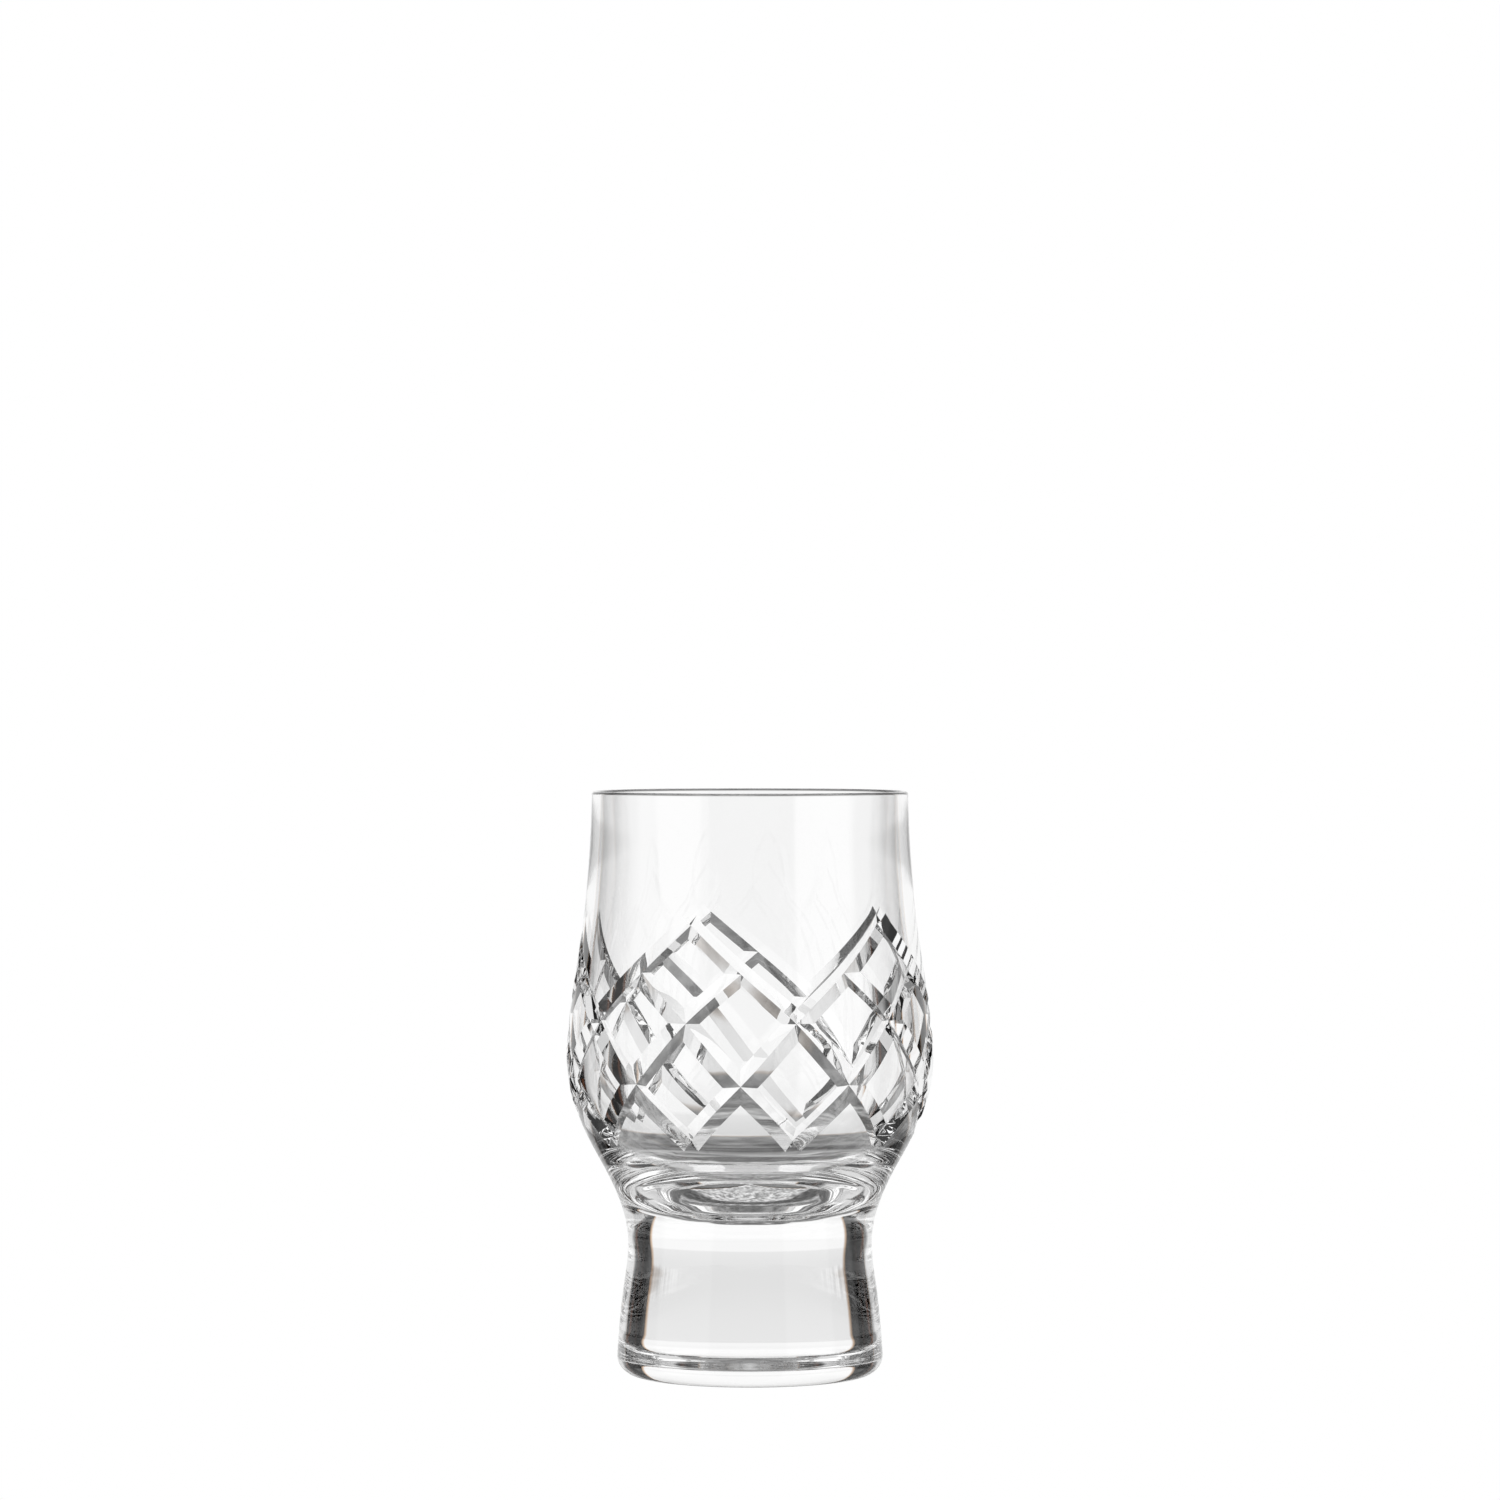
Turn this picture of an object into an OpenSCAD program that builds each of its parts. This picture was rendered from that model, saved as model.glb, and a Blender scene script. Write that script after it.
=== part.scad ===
// Cut crystal whiskey tumbler: a thin-lipped bowl with a diamond lattice of mitre cuts round its belly,
// joined hot at a narrow waist to a heavy solid foot.
// Millimetres, +Z up. The origin is the middle of the flat face that the tumbler stands on.

/* [Overall] */
// Height from the resting face to the lip
height = 112; // [90:0.5:140]
// Widest diameter, at the belly, before it is cut
belly_d = 70.4; // [58:0.1:86]
// Diameter over the lip
rim_d = 60.7; // [50:0.1:74]

/* [Bowl, outside] */
// Height of the widest point of the belly
belly_z = 60.3; // [50:0.1:73]
// Height at which the belly has drawn in to the neck
neck_z = 92; // [76:0.5:108]
// Diameter of the neck, where the plain band under the lip starts
neck_d = 62.9; // [52:0.1:76]
// Height half way down the sloping underside of the bowl
cup_z = 41.5; // [34:0.1:50]
// How far the underside of the bowl has drawn in from the belly half way down
cup_in = 6.3; // [4:0.1:9]
// How far the underside goes out for each millimetre that it goes up
cup_slope = 0.57; // [0.3:0.01:0.8]

/* [Bowl, inside] */
// Glass at the lip, which is fire-polished to a half round
lip_wall = 1.3; // [1:0.1:2.5]
// Glass at the neck
neck_wall = 2.2; // [1.6:0.1:4]
// Glass at the belly before it is cut
belly_wall = 3.2; // [2.4:0.1:6]
// Height of the lowest point of the inside
floor_z = 31.5; // [29:0.5:44]
// Length of the upright pull of the inside below the belly, which sets how square the floor is
floor_drop = 15; // [8:0.5:20]
// Radius of the nearly flat middle of the floor
floor_r = 18; // [14:0.5:28]

/* [Foot] */
// Diameter of the waist, where the bowl and the foot are joined
waist_d = 46.8; // [38:0.1:56]
// Height of the waist
waist_z = 25.3; // [21:0.1:30]
// Diameter of the foot half way down
heel_d = 49.2; // [40:0.1:59]
// Height of the middle of the foot
heel_z = 14.5; // [12:0.1:17]
// Widest diameter of the foot, just above the resting face
foot_d = 51; // [42:0.1:61]
// Radius that rounds the foot into the resting face
foot_round = 3.8; // [2:0.1:5]

/* [Cuts] */
// Cuts that start at the top row and slope one way, with as many short ones between them
long_cuts = 5; // [4:1:7]
// Heights of the five rows in which the cuts cross, from the top points to the bottom points
row_z = [87.5, 78.5, 69.2, 57.3, 46.6]; // [40:0.1:100]
// Depth of a cut at the ends of each straight stretch of it
cut_depth = 0.85; // [0.5:0.05:1.1]
// Angle between the two faces of a cut
cut_angle = 132; // [110:1:140]
// Turn of the whole pattern about the axis
pattern_turn = -111; // [-180:1:180]

/* [Hidden] */

// Stretches that each smooth run of a section is divided into
steps = 5;
round_steps = 6;

// Height of a cut's section above the surface, so that the wheel comes out of the glass
wheel_clear = 1.6;
// Straight stretches of a cut from one row of crossings to the next, and how far they run into each other
stretches = 2;
cut_overlap = 0.35;
// How far the ends of a cut run past the middle line of the cut that they meet
end_overrun = 0.15;
// How much deeper the second family of cuts is, so that it clears the first where they cross
later_depth = 0.04;
// Turn from one row of crossings to the next along a cut
step_angle = 360 / (4 * long_cuts);

// A station of a section is [height, radius, change of radius with height]. The stations of the outside:
lip_r = lip_wall / 2;
rim = [height - lip_r, rim_d / 2, -0.01];
neck = [neck_z, neck_d / 2, -0.085];
belly = [belly_z, belly_d / 2, 0];
cup = [cup_z, belly_d / 2 - cup_in, cup_slope];
waist = [waist_z, waist_d / 2, 0];
heel = [heel_z, heel_d / 2, -0.115];
foot_top = [foot_round, foot_d / 2, -0.06];
bowl_outside = [waist, cup, belly, neck, rim];
foot_outside = [foot_top, heel, waist];

// The stations of the inside, down to the belly, set in by the wall
bowl_inside = [inset(belly, belly_wall), inset(neck, neck_wall), inset(rim, lip_wall)];

function inset(station, wall) = [station[0], station[1] - wall, station[2]];

// Value at x of the cubic that joins stations a and b
function cubic(a, b, x) =
    let (h = b[0] - a[0], t = (x - a[0]) / h)
    (2 * pow(t, 3) - 3 * t * t + 1) * a[1] + (pow(t, 3) - 2 * t * t + t) * h * a[2]
    + (3 * t * t - 2 * pow(t, 3)) * b[1] + (pow(t, 3) - t * t) * h * b[2];

// Radius of the outside of the bowl at height z
function outside(z) =
    let (i = z < cup_z ? 0 : z < belly_z ? 1 : z < neck_z ? 2 : 3)
    cubic(bowl_outside[i], bowl_outside[i + 1], z);

// Points [radius, height] of a section through a list of stations, upwards
function run(stations) = [
    for (i = [0 : len(stations) - 2], k = [0 : steps - 1])
        let (a = stations[i], b = stations[i + 1], z = a[0] + (b[0] - a[0]) * k / steps)
        [cubic(a, b, z), z],
    [stations[len(stations) - 1][1], stations[len(stations) - 1][0]]
];

function backwards(points) = [for (i = [len(points) - 1 : -1 : 0]) points[i]];

// Points of an arc between two angles, without the first and the last
function arc(centre, r, from, to) = [
    for (k = [1 : round_steps - 1])
        let (a = from + (to - from) * k / round_steps)
        centre + r * [cos(a), sin(a)]
];

// Points of the rounded floor, from the inside of the belly down to the axis
function floor_run() =
    let (top = [belly_d / 2 - belly_wall, belly_z], drop = top - [0, floor_drop],
         flat = [floor_r, floor_z], middle = [0, floor_z])
    [
        for (k = [1 : 2 * steps])
            let (t = k / (2 * steps), u = 1 - t)
            pow(u, 3) * top + 3 * u * u * t * drop + 3 * u * t * t * flat + pow(t, 3) * middle
    ];

// A point on the outside of the bowl at a turn and a height, sunk below the surface by a depth
function sunk(turn, z, depth) =
    let (slope = (outside(z + 0.1) - outside(z - 0.1)) / 0.2, out = [1, -slope] / norm([1, -slope]),
         r = outside(z) - depth * out[0])
    [r * cos(turn), r * sin(turn), z - depth * out[1]];

// Change of height from row to row at row i, and the height at a row that may lie between two crossings
function row_slope(i) =
    let (up = min(i + 1, len(row_z) - 1), down = max(i - 1, 0))
    (row_z[up] - row_z[down]) / (up - down);
function row_height(row) =
    let (i = min(floor(row), len(row_z) - 2))
    cubic([i, row_z[i], row_slope(i)], [i + 1, row_z[i + 1], row_slope(i + 1)], row);

function unit(v) = v / norm(v);

// A straight stretch of a mitre cut between two points on its middle line, made longer at each end
module v_cut(a, b, more_a, more_b) {
    along = unit(b - a);
    across = unit(cross(along, [a[0] + b[0], a[1] + b[1], 0]));
    out = cross(across, along);
    reach = cut_depth + wheel_clear;
    half_w = reach * tan(cut_angle / 2);
    start = a - along * more_a;
    multmatrix([
        [across[0], out[0], along[0], start[0]],
        [across[1], out[1], along[1], start[1]],
        [across[2], out[2], along[2], start[2]],
        [0, 0, 0, 1]
    ])
        linear_extrude(norm(b - a) + more_a + more_b)
            polygon([[0, 0], [half_w, reach], [-half_w, reach]]);
}

// One sloping cut down to the bottom row, from the top row or, where it is a short one, the second row
module cut(first_row, depth) {
    last = (len(row_z) - 1) * stretches;
    first = first_row * stretches;
    p = [for (k = [0 : last]) sunk(k / stretches * step_angle, row_height(k / stretches), depth)];
    for (k = [first : last - 1])
        v_cut(p[k], p[k + 1], k == first ? end_overrun : cut_overlap, k == last - 1 ? end_overrun : cut_overlap);
}

// All the cuts that slope one way
module cut_family(depth) {
    for (i = [0 : long_cuts - 1])
        rotate(pattern_turn + i * 4 * step_angle) {
            cut(0, depth);
            rotate(-2 * step_angle) cut(1, depth);
        }
}

module bowl_blank() {
    lip_middle = [rim_d / 2 - lip_r, height - lip_r];
    rotate_extrude($fn = 180)
        polygon(concat(
            [[0, waist_z]],
            run(bowl_outside),
            arc(lip_middle, lip_r, 0, 180),
            backwards(run(bowl_inside)),
            floor_run()
        ));
}

module bowl() {
    color([0.86, 0.9, 0.93, 0.5])
        difference() {
            bowl_blank();
            cut_family(cut_depth);
            rotate(2 * pattern_turn) mirror([0, 1, 0]) cut_family(cut_depth + later_depth);
        }
}

module foot() {
    round_middle = [foot_d / 2 - foot_round, foot_round];
    color([0.8, 0.85, 0.9, 0.5])
        rotate_extrude($fn = 180)
            polygon(concat(
                [[0, 0], [round_middle[0], 0]],
                arc(round_middle, foot_round, -90, 0),
                run(foot_outside),
                [[0, waist_z]]
            ));
}

bowl();
foot();
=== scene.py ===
"""Looks of the cut crystal whiskey tumbler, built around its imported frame. Metres, +Z up.

The bowl and the foot are remade as fine meshes. The bowl's outside is laid out on the lattice of its mitre
cuts, so that the middle and the edges of every cut fall on mesh lines and the facets stay crisp.
"""
import math

import bmesh
import bpy
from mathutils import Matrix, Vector


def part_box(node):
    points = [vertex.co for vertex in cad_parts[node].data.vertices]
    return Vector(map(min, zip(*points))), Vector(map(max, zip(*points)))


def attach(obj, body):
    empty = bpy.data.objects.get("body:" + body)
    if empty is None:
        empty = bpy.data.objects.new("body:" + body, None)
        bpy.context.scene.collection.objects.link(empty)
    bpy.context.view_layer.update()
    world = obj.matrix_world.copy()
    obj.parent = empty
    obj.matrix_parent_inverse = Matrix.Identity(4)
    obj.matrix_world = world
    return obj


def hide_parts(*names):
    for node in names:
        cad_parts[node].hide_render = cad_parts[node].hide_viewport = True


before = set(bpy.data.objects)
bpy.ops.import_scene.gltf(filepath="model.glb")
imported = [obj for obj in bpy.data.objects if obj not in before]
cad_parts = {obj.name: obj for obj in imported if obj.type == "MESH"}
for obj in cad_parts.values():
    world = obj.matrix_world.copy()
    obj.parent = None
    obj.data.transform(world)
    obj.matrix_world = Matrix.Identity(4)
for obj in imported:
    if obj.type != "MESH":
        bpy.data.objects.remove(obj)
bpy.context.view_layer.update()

MM = 0.001

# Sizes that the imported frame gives
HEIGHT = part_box("bowl")[1][2]
WAIST_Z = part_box("foot")[1][2]

# Outside stations: height, radius, change of radius with height
LIP_WALL = 1.3 * MM
LIP_R = LIP_WALL / 2
RIM = (HEIGHT - LIP_R, 30.35 * MM, -0.01)
NECK = (92 * MM, 31.45 * MM, -0.085)
BELLY = (60.3 * MM, 35.2 * MM, 0.0)
CUP = (41.5 * MM, 28.9 * MM, 0.57)
WAIST = (WAIST_Z, 23.4 * MM, 0.0)
HEEL = (14.5 * MM, 24.6 * MM, -0.115)
FOOT_ROUND = 3.8 * MM
FOOT_TOP = (FOOT_ROUND, 25.5 * MM, -0.06)

# Inside of the bowl
NECK_WALL = 2.2 * MM
BELLY_WALL = 3.2 * MM
FLOOR_Z = 31.5 * MM
FLOOR_DROP = 15 * MM
FLOOR_R = 18 * MM
RIPPLE = 0.06 * MM          # unevenness of the floor's polish, which fades towards its edge
RIPPLE_LENGTH = 4.5 * MM

# Lattice of cuts: each row of crossings is turned by one step from the row above it
ROW_Z = [87.5 * MM, 78.5 * MM, 69.2 * MM, 57.3 * MM, 46.6 * MM]
LONG_CUTS = 5
ROUND = 2 * LONG_CUTS
STEP_ANGLE = math.pi / ROUND
PATTERN_TURN = math.radians(-111)
CUT_DEPTH = 1.1 * MM
HALF_CUT = 0.146        # half the width of a cut, in lattice steps
CUT_END = 4             # a cut ends this many rows below the top row

# Mesh lines in half a cut, in the flat between two cuts, and in each run of rows
CUT_LINES = 4
FLAT_LINES = 8
LINES = 2 * CUT_LINES + FLAT_LINES
COLUMNS = 2 * ROUND * LINES
BAND_ROWS = 24
LIP_ROWS = 12
INNER_ROWS = 48
FLOOR_ROWS = 48
FOOT_ROWS = 40


def cubic(a, b, x):
    """Value and slope at x of the cubic that joins stations a and b."""
    h = b[0] - a[0]
    t = (x - a[0]) / h
    value = ((2 * t**3 - 3 * t * t + 1) * a[1] + (t**3 - 2 * t * t + t) * h * a[2]
             + (3 * t * t - 2 * t**3) * b[1] + (t**3 - t * t) * h * b[2])
    slope = ((6 * t * t - 6 * t) * (a[1] - b[1]) / h + (3 * t * t - 4 * t + 1) * a[2]
             + (3 * t * t - 2 * t) * b[2])
    return value, slope


def along(stations, z):
    """Radius and slope at height z on a list of stations that rises."""
    for a, b in zip(stations, stations[1:]):
        if z <= b[0]:
            break
    return cubic(a, b, z)


def outward(slope):
    """Normal (radial, up) of a surface whose radius changes by slope for each unit of height."""
    size = math.hypot(1, slope)
    return (1 / size, -slope / size)


BOWL_OUTSIDE = [WAIST, CUP, BELLY, NECK, RIM]
FOOT_OUTSIDE = [FOOT_TOP, HEEL, WAIST]


def row_height(row):
    """Height of a row of the pattern, which may lie between two crossings or beyond the last ones."""
    last = len(ROW_Z) - 1
    if row < 0:
        return ROW_Z[0] - row * (RIM[0] - ROW_Z[0]) / 2
    if row > last:
        return ROW_Z[last] - (row - last) * (ROW_Z[last] - WAIST_Z) / 2
    i = min(int(row), last - 1)

    def station(k):
        up, down = min(k + 1, last), max(k - 1, 0)
        return (k, ROW_Z[k], (ROW_Z[up] - ROW_Z[down]) / (up - down))

    return cubic(station(i), station(i + 1), row)[0]


def lattice_lines():
    """Places of the mesh lines within one lattice step: half a cut, the flat, half the next cut."""
    cut = [HALF_CUT * k / CUT_LINES for k in range(CUT_LINES)]
    flat = [HALF_CUT + (1 - 2 * HALF_CUT) * k / FLAT_LINES for k in range(FLAT_LINES)]
    return cut + flat + [1 - HALF_CUT + x for x in cut]


LINE_AT = lattice_lines()


def place(i):
    """Lattice coordinate of mesh line i."""
    return i // LINES + LINE_AT[i % LINES]


def cut_at(across, past):
    """Number of the cut whose width takes in lattice coordinate across, or None. past gives how far along it
    the place is."""
    number = round(across)
    start = number % 2
    length = past(number)
    if abs(across - number) < HALF_CUT and start < length < CUT_END:
        return number
    return None


def cuts_over(u, v):
    """The cuts of the two families that take in the middle (u, v) of a piece of the surface."""
    return cut_at(u, lambda number: v - number), cut_at(v, lambda number: number - u)


def depth_and_facet(u, v, cuts):
    """Depth at (u, v), and the facet there, as (family, cut, side), for a piece that the cuts take in."""
    deepest, facet = 0.0, "plain"
    for family, (x, number) in enumerate(zip((u, v), cuts)):
        if number is None:
            continue
        depth = CUT_DEPTH * (1 - abs(x - number) / HALF_CUT)
        if depth > deepest:
            deepest, facet = depth, (family, number % ROUND, x > number)
    return deepest, facet


class Shell:
    """Collects the points and faces of one closed surface, and turns them into a mesh object."""

    def __init__(self):
        self.index = {}
        self.points = []
        self.normals = []
        self.faces = []
        self.facets = []

    def vertex(self, key, radius, z, turn, normal):
        if key not in self.index:
            self.index[key] = len(self.points)
            c, s = math.cos(turn), math.sin(turn)
            self.points.append((radius * c, radius * s, z))
            self.normals.append((normal[0] * c, normal[0] * s, normal[1]))
        return self.index[key]

    def face(self, corners, facet):
        ring = [c for k, c in enumerate(corners) if c != corners[k - 1]]
        if len(ring) > 2:
            self.faces.append(ring)
            self.facets.append(facet)

    def strip(self, low, high, facet="plain"):
        """Faces between two rings of vertices."""
        for c in range(len(low)):
            d = (c + 1) % len(low)
            self.face([low[c], low[d], high[d], high[c]], facet)

    def build(self, name, materials):
        mesh = bpy.data.meshes.new(name)
        mesh.from_pydata(self.points, [], self.faces)
        piece = bpy.data.objects.new(name, mesh)
        bpy.context.collection.objects.link(piece)
        facet_ids = {facet: k for k, facet in enumerate(dict.fromkeys(self.facets))}
        layer = mesh.attributes.new("facet", "INT", "FACE")
        layer.data.foreach_set("value", [facet_ids[facet] for facet in self.facets])
        for material in materials:
            mesh.materials.append(material)

        work = bmesh.new()
        work.from_mesh(mesh)
        bmesh.ops.recalc_face_normals(work, faces=work.faces)
        facet_of = work.faces.layers.int["facet"]
        plain, joint = facet_ids["plain"], facet_ids.get("joint", -1)
        for edge in work.edges:
            edge.smooth = len({f[facet_of] for f in edge.link_faces}) == 1
        for face in work.faces:
            face.smooth = True
            face.material_index = int(face[facet_of] == joint)
        work.to_mesh(mesh)
        work.free()

        given = [Vector((0, 0, 0))] * len(mesh.loops)
        for face in mesh.polygons:
            if layer_value(mesh, face.index) == plain:
                for loop in face.loop_indices:
                    given[loop] = Vector(self.normals[mesh.loops[loop].vertex_index])
        mesh.normals_split_custom_set(given)
        return piece


def layer_value(mesh, face):
    return mesh.attributes["facet"].data[face].value


def column_turn(c):
    return PATTERN_TURN + STEP_ANGLE * place(c)


def ring(shell, name, radius, z, normal):
    """One vertex for each column at a radius and a height."""
    return [shell.vertex((name, c), radius, z, column_turn(c), normal) for c in range(COLUMNS)]


def surface_vertex(shell, i, j, depth):
    """Vertex of the bowl's outside on lattice lines i and j, sunk below the surface by a depth."""
    lap = i // (ROUND * LINES) * ROUND * LINES
    u, v = place(i), place(j)
    z = row_height(v - u)
    radius, slope = along(BOWL_OUTSIDE, z)
    normal = outward(slope)
    key = (i - lap, j - lap, round(depth / CUT_DEPTH, 6))
    return shell.vertex(key, radius - depth * normal[0], z - depth * normal[1],
                        PATTERN_TURN + STEP_ANGLE * (u + v), normal)


def lattice_square(shell, i, j):
    """One square of the lattice's mesh, split along the mitre where two cuts cross."""
    places = [(a, b) for a, b in ((i, j), (i + 1, j), (i + 1, j + 1), (i, j + 1))]
    u, v = (place(i) + place(i + 1)) / 2, (place(j) + place(j + 1)) / 2
    cuts = cuts_over(u, v)
    corners = [surface_vertex(shell, a, b, depth_and_facet(place(a), place(b), cuts)[0]) for a, b in places]
    pieces = [(0, 1, 2, 3)]
    if None not in cuts and math.isclose(abs(u - cuts[0]), abs(v - cuts[1]), rel_tol=1e-6):
        rising = (u - cuts[0]) * (v - cuts[1]) > 0
        pieces = [(0, 1, 2), (0, 2, 3)] if rising else [(0, 1, 3), (1, 2, 3)]
    for piece in pieces:
        mid_u = sum(place(places[k][0]) for k in piece) / len(piece)
        mid_v = sum(place(places[k][1]) for k in piece) / len(piece)
        shell.face([corners[k] for k in piece], depth_and_facet(mid_u, mid_v, cuts)[1])


def end_wall(shell, i, j, step_i, step_j):
    """The upright wall that ends a cut at a top or a bottom point of the pattern."""
    for k in range(CUT_LINES):
        ends = []
        for s in (k, k + 1):
            depth = CUT_DEPTH * (1 - s / CUT_LINES)
            a, b = i + s * step_i, j + s * step_j
            ends.append((surface_vertex(shell, a, b, 0), surface_vertex(shell, a, b, depth)))
        shell.face([ends[0][0], ends[1][0], ends[1][1], ends[0][1]], ("wall", step_i, step_j))


def pattern_zone(shell):
    """The belt of the bowl's outside that holds the cuts."""
    for k in range(ROUND):
        for row in range(CUT_END + 1):
            for i in range(LINES):
                for j in range(LINES):
                    lattice_square(shell, k * LINES + i, (k + row) * LINES + j)
        bottom = (k * LINES, (k + CUT_END) * LINES)
        end_wall(shell, *bottom, 0, 1)
        end_wall(shell, *bottom, -1, 0)
        if k % 2 == 0:
            end_wall(shell, k * LINES, k * LINES, 1, 0)
            end_wall(shell, k * LINES, k * LINES, 0, -1)


def zone_edge(c, bottom):
    """Lattice lines of column c on the zigzag edge above or below the pattern."""
    step, rest = divmod(c, LINES)
    half, odd = divmod(step, 2)
    if bottom:
        half -= CUT_END // 2
        if odd:
            return half * LINES + rest, (half + CUT_END + 1) * LINES
        return half * LINES, (half + CUT_END) * LINES + rest
    if odd:
        return (half + 1) * LINES, half * LINES + rest
    return half * LINES + rest, half * LINES


def plain_band(shell, name, end_z, bottom):
    """The uncut outside between the pattern's zigzag edge and the height end_z. Gives its last ring."""
    edge = [zone_edge(c, bottom) for c in range(COLUMNS)]
    start_z = [row_height(place(j) - place(i)) for i, j in edge]
    last = [surface_vertex(shell, i, j, 0) for i, j in edge]
    for row in range(1, BAND_ROWS + 1):
        here = []
        for c in range(COLUMNS):
            z = start_z[c] + (end_z - start_z[c]) * row / BAND_ROWS
            radius, slope = along(BOWL_OUTSIDE, z)
            here.append(shell.vertex((name, row, c), radius, z, column_turn(c), outward(slope)))
        shell.strip(last, here)
        last = here
    return last


def floor_section():
    """Points (radius, height, normal) of the rounded inside floor, from the belly down to the axis."""
    top = Vector((BELLY[1] - BELLY_WALL, BELLY[0]))
    control = [top, top - Vector((0, FLOOR_DROP)), Vector((FLOOR_R, FLOOR_Z)), Vector((0, FLOOR_Z))]
    section = []
    for k in range(1, FLOOR_ROWS + 1):
        t = k / FLOOR_ROWS
        u = 1 - t
        p = (u**3 * control[0] + 3 * u * u * t * control[1] + 3 * u * t * t * control[2] + t**3 * control[3])
        way = (u * u * (control[1] - control[0]) + 2 * u * t * (control[2] - control[1])
               + t * t * (control[3] - control[2])).normalized()
        share = 1 - p[0] / top[0]
        phase = 2 * math.pi * p[0] / RIPPLE_LENGTH
        wave = RIPPLE * share * math.sin(phase)
        tilt = RIPPLE * (share * math.cos(phase) * 2 * math.pi / RIPPLE_LENGTH - math.sin(phase) / top[0])
        way = Vector((way[0], way[1] + tilt * way[0])).normalized()
        section.append((p[0], p[1] + wave, (way[1], -way[0])))
    return section


def make_bowl(glass, joint):
    shell = Shell()
    pattern_zone(shell)
    waist_ring = plain_band(shell, "below", WAIST_Z, True)
    last = plain_band(shell, "above", RIM[0], False)

    lip_middle = RIM[1] - LIP_R
    for k in range(1, LIP_ROWS + 1):
        a = math.pi * k / LIP_ROWS
        here = ring(shell, ("lip", k), lip_middle + LIP_R * math.cos(a), RIM[0] + LIP_R * math.sin(a),
                    (math.cos(a), math.sin(a)))
        shell.strip(last, here)
        last = here

    inside = [(BELLY[0], BELLY[1] - BELLY_WALL, 0.0), (NECK[0], NECK[1] - NECK_WALL, NECK[2]),
              (RIM[0], RIM[1] - LIP_WALL, RIM[2])]
    for k in range(1, INNER_ROWS + 1):
        z = RIM[0] + (BELLY[0] - RIM[0]) * k / INNER_ROWS
        radius, slope = along(inside, z)
        normal = outward(slope)
        here = ring(shell, ("inside", k), radius, z, (-normal[0], -normal[1]))
        shell.strip(last, here)
        last = here

    section = floor_section()
    for k, (radius, z, normal) in enumerate(section[:-1]):
        here = ring(shell, ("floor", k), radius, z, normal)
        shell.strip(last, here)
        last = here
    pole = shell.vertex("pole", 0, FLOOR_Z, 0, (0, 1))
    shell.strip(last, [pole] * COLUMNS)

    centre = shell.vertex("joint", 0, WAIST_Z, 0, (0, -1))
    shell.strip(waist_ring, [centre] * COLUMNS, "joint")
    return shell.build("crystal_bowl", [glass, joint])


def make_foot(glass, joint):
    shell = Shell()
    base_r = FOOT_TOP[1] - FOOT_ROUND
    base = ring(shell, "base", base_r, 0, (0, -1))
    under = shell.vertex("under", 0, 0, 0, (0, -1))
    shell.strip([under] * COLUMNS, base)
    last = base
    for k in range(1, LIP_ROWS + 1):
        a = -math.pi / 2 * (1 - k / LIP_ROWS)
        here = ring(shell, ("round", k), base_r + FOOT_ROUND * math.cos(a), FOOT_ROUND * (1 + math.sin(a)),
                    (math.cos(a), math.sin(a)))
        shell.strip(last, here)
        last = here
    for k in range(1, FOOT_ROWS + 1):
        z = FOOT_ROUND + (WAIST_Z - FOOT_ROUND) * k / FOOT_ROWS
        radius, slope = along(FOOT_OUTSIDE, z)
        here = ring(shell, ("side", k), radius, z, outward(slope))
        shell.strip(last, here)
        last = here
    centre = shell.vertex("joint", 0, WAIST_Z, 0, (0, 1))
    shell.strip(last, [centre] * COLUMNS, "joint")
    return shell.build("crystal_foot", [glass, joint])


def crystal():
    """Clear polished crystal."""
    material = bpy.data.materials.new("polished_crystal")
    material.use_nodes = True
    shader = material.node_tree.nodes["Principled BSDF"]
    shader.inputs["Base Color"].default_value = (1, 1, 1, 1)
    shader.inputs["Transmission Weight"].default_value = 1
    shader.inputs["Roughness"].default_value = 0
    shader.inputs["IOR"].default_value = 1.54
    return material


def fused_joint():
    """The face where the bowl and the foot were joined hot. Both sides are one glass, so nothing shows."""
    material = bpy.data.materials.new("fused_joint")
    material.use_nodes = True
    nodes = material.node_tree.nodes
    nodes.remove(nodes["Principled BSDF"])
    clear = nodes.new("ShaderNodeBsdfTransparent")
    material.node_tree.links.new(clear.outputs[0], nodes["Material Output"].inputs["Surface"])
    return material


def ramp_node(tree, source, stops):
    """A colour ramp over [0, 1]. Each stop is a position and a grey level or a colour."""
    ramp = tree.nodes.new("ShaderNodeValToRGB")
    tree.links.new(source, ramp.inputs[0])
    elements = ramp.color_ramp.elements
    while len(elements) < len(stops):
        elements.new(1.0)
    for element, (position, level) in zip(elements, stops):
        element.position = position
        element.color = (*level, 1) if isinstance(level, tuple) else (level, level, level, 1)
    return ramp.outputs["Color"]


def math_node(tree, operation, *inputs):
    node = tree.nodes.new("ShaderNodeMath")
    node.operation = operation
    for socket, value in zip(node.inputs, inputs):
        if isinstance(value, (int, float)):
            socket.default_value = value
        else:
            tree.links.new(value, socket)
    return node.outputs[0]


def mix_node(tree, kind, factor, a, b):
    node = tree.nodes.new("ShaderNodeMix")
    node.data_type = "RGBA"
    node.blend_type = kind
    for name, value in (("Factor", factor), ("A", a), ("B", b)):
        if isinstance(value, (int, float, tuple)):
            node.inputs[name].default_value = value
        else:
            tree.links.new(value, node.inputs[name])
    return node.outputs["Result"]


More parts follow.
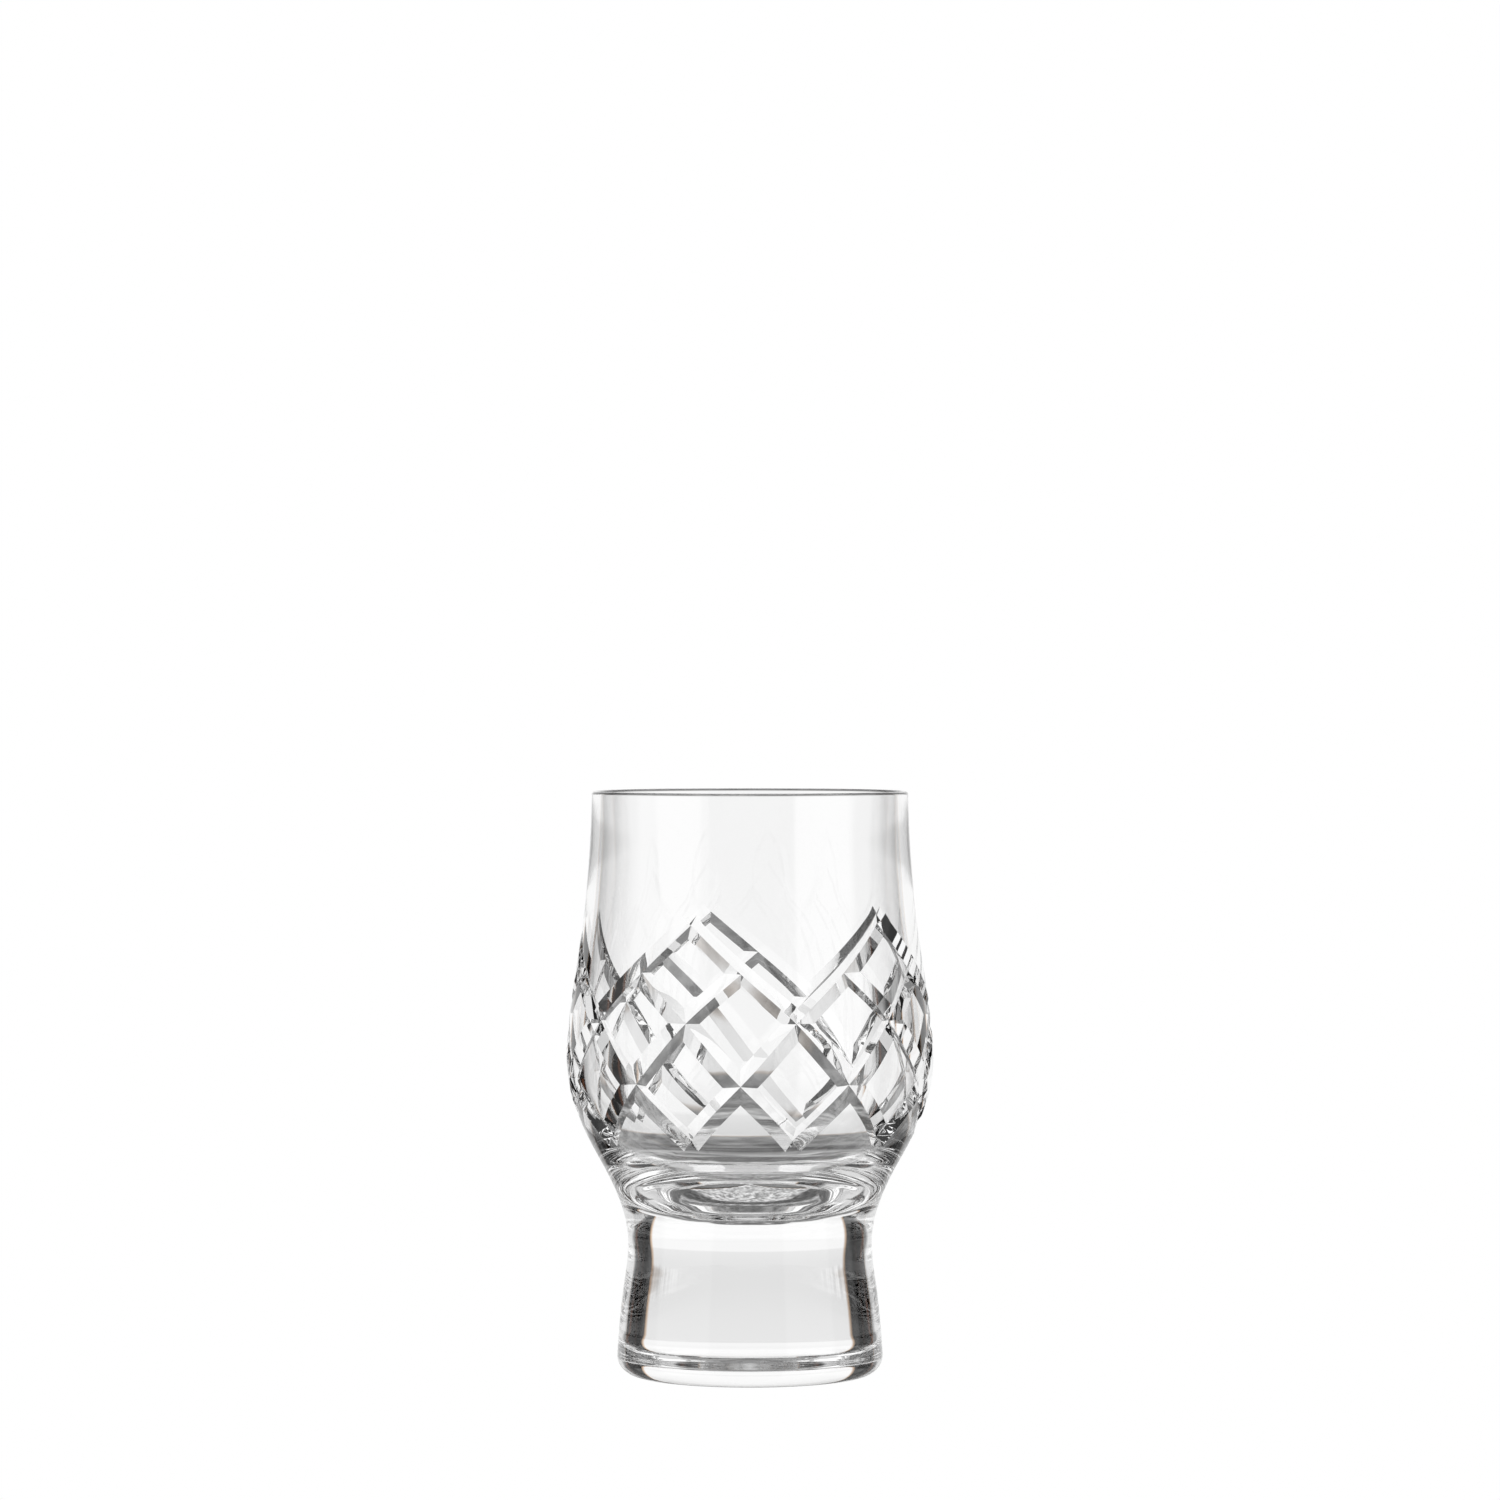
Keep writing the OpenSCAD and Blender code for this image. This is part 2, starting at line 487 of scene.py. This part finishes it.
# Levels of the studio, by degrees round from the middle of the backdrop, positive to the right, or by
# degrees of elevation. The backdrop stands between two dark flags, and the rest of the room is pale.
AMBER = (0.8, 0.56, 0.38)
BROWN = (0.14, 0.06, 0.035)
DARK = 0.002
WHITE = 1.0
SOFTBOX = 1.2
ROOM = 0.75
BACKDROP_LEVELS = [
    (-180, DARK), (-62, DARK), (-60, BROWN), (-58, DARK), (-41.3, DARK), (-40.5, AMBER), (-39.8, WHITE),
    (42.8, WHITE), (43.5, AMBER), (44.2, DARK), (59, DARK), (61, BROWN), (63, DARK), (180, DARK)]
BACKDROP_HEIGHTS = [
    (-90, 0.55), (-56, 0.55), (-52, 0.1), (-42.5, 0.1), (-40, 0.34), (-34.5, 0.36), (-32, 0.13),
    (-17.3, 0.24), (-16.6, (0.42, 0.37, 0.33)), (-15.8, 0.76), (-12, 0.8), (-7.6, 0.83), (-6.8, 0.95),
    (1, 0.95), (4, 1.02), (18, 1.0), (30, 0.85), (90, 0.85)]
ROOM_LEVELS = [
    (-180, ROOM), (-145, ROOM), (-143, SOFTBOX), (-92, SOFTBOX), (-88, ROOM), (100, ROOM), (103, SOFTBOX),
    (147, SOFTBOX), (149, ROOM), (180, ROOM)]
ROOM_HEIGHTS = [(-90, 0.3), (-48, 0.3), (-42, 0.85), (-30, 0.9), (18, 1.0), (30, 0.3), (90, 0.25)]

# Share of the room against the backdrop and its flags, and the same below the feet of the flags
ROOM_SHARE = [(-180, 1.0), (-72, 1.0), (-66, 0.0), (66, 0.0), (72, 1.0), (180, 1.0)]
ROOM_SHARE_LOW = [(-180, 1.0), (-52, 1.0), (-43, 0.0), (43, 0.0), (52, 1.0), (180, 1.0)]
FLAG_FEET = [(-90, 1.0), (-25, 1.0), (-22, 0.0), (90, 0.0)]

# Streaks on the low part of the backdrop
STREAK_SCALE = 1.5
STREAK_STRETCH = (24, 24, 1)
STREAKS = [(0.35, 0.5), (0.5, 1.0), (0.65, 1.7)]
STREAK_SHARE = [(-90, 1.0), (-18, 1.0), (-15, 0.0), (90, 0.0)]


def by_turn(tree, turn, levels):
    """Level at a turn. Turns run over [0, 1] from behind the camera, by the left, the front and the right."""
    return ramp_node(tree, turn, [(angle / 360 + 0.5, level) for angle, level in levels])


def by_height(tree, height, levels):
    """Level at a height on the unit sphere, which runs over [0, 1] from straight down to straight up."""
    stops = [(0.5 + 0.5 * math.sin(math.radians(angle)), level) for angle, level in levels]
    return ramp_node(tree, height, stops)


def light_studio():
    """World: what the glass sees, by turn from the backdrop and by height. The camera sees plain white."""
    world = bpy.data.worlds.new("studio")
    bpy.context.scene.world = world
    world.use_nodes = True
    tree = world.node_tree
    background = tree.nodes["Background"]

    coords = tree.nodes.new("ShaderNodeTexCoord")
    split = tree.nodes.new("ShaderNodeSeparateXYZ")
    tree.links.new(coords.outputs["Generated"], split.inputs[0])
    turn = math_node(tree, "ARCTAN2", split.outputs["X"], split.outputs["Y"])
    turn = math_node(tree, "MULTIPLY_ADD", turn, 0.5 / math.pi, 0.5)
    height = math_node(tree, "MULTIPLY_ADD", split.outputs["Z"], 0.5, 0.5)
    stretch = tree.nodes.new("ShaderNodeMapping")
    stretch.inputs["Scale"].default_value = STREAK_STRETCH
    tree.links.new(coords.outputs["Generated"], stretch.inputs["Vector"])
    noise = tree.nodes.new("ShaderNodeTexNoise")
    noise.inputs["Scale"].default_value = STREAK_SCALE
    tree.links.new(stretch.outputs[0], noise.inputs["Vector"])

    backdrop = mix_node(tree, "MULTIPLY", 1.0, by_turn(tree, turn, BACKDROP_LEVELS),
                        by_height(tree, height, BACKDROP_HEIGHTS))
    backdrop = mix_node(tree, "MULTIPLY", by_height(tree, height, STREAK_SHARE), backdrop,
                        ramp_node(tree, noise.outputs[0], STREAKS))
    room = mix_node(tree, "MULTIPLY", 1.0, by_turn(tree, turn, ROOM_LEVELS),
                    by_height(tree, height, ROOM_HEIGHTS))
    share = mix_node(tree, "MIX", by_height(tree, height, FLAG_FEET), by_turn(tree, turn, ROOM_SHARE),
                     by_turn(tree, turn, ROOM_SHARE_LOW))
    studio = mix_node(tree, "MIX", share, backdrop, room)
    path = tree.nodes.new("ShaderNodeLightPath")
    shown = mix_node(tree, "MIX", path.outputs["Is Camera Ray"], studio, (1, 1, 1, 1))
    tree.links.new(shown, background.inputs["Color"])
    background.inputs["Strength"].default_value = 1.0


def make_floor():
    """White floor that only the camera sees. The glass sees the studio through it."""
    material = bpy.data.materials.new("white_floor")
    material.use_nodes = True
    tree = material.node_tree
    tree.nodes.remove(tree.nodes["Principled BSDF"])
    glow = tree.nodes.new("ShaderNodeEmission")
    tree.links.new(glow.outputs[0], tree.nodes["Material Output"].inputs["Surface"])
    mesh = bpy.data.meshes.new("floor")
    half = 3.0
    corners = [(-half, -half, 0), (half, -half, 0), (half, half, 0), (-half, half, 0)]
    mesh.from_pydata(corners, [], [(0, 1, 2, 3)])
    mesh.materials.append(material)
    floor = bpy.data.objects.new("floor", mesh)
    floor.location.z = -0.0002
    for kind in ("diffuse", "glossy", "transmission", "volume_scatter", "shadow"):
        setattr(floor, "visible_" + kind, False)
    bpy.context.collection.objects.link(floor)


def make_camera():
    """At the height and distance where the lip shows 1 degree from above and the base 7 degrees."""
    distance = 1.09
    height = 131 * MM
    tilt = math.radians(0.586)
    data = bpy.data.cameras.new("camera")
    data.sensor_width = 36
    data.lens = 136.3
    camera = bpy.data.objects.new("camera", data)
    camera.location = (0, -distance, height)
    camera.rotation_euler = (math.pi / 2 - tilt, 0, 0)
    bpy.context.collection.objects.link(camera)
    bpy.context.scene.camera = camera


def set_look():
    scene = bpy.context.scene
    scene.view_settings.view_transform = "Standard"
    scene.cycles.max_bounces = 24
    scene.cycles.transmission_bounces = 24
    scene.cycles.glossy_bounces = 12
    scene.cycles.transparent_max_bounces = 24


make_camera()
set_look()
light_studio()
make_floor()
glass = crystal()
joint = fused_joint()
for piece, node in ((make_bowl(glass, joint), "bowl"), (make_foot(glass, joint), "foot")):
    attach(piece, "root")
    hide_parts(node)
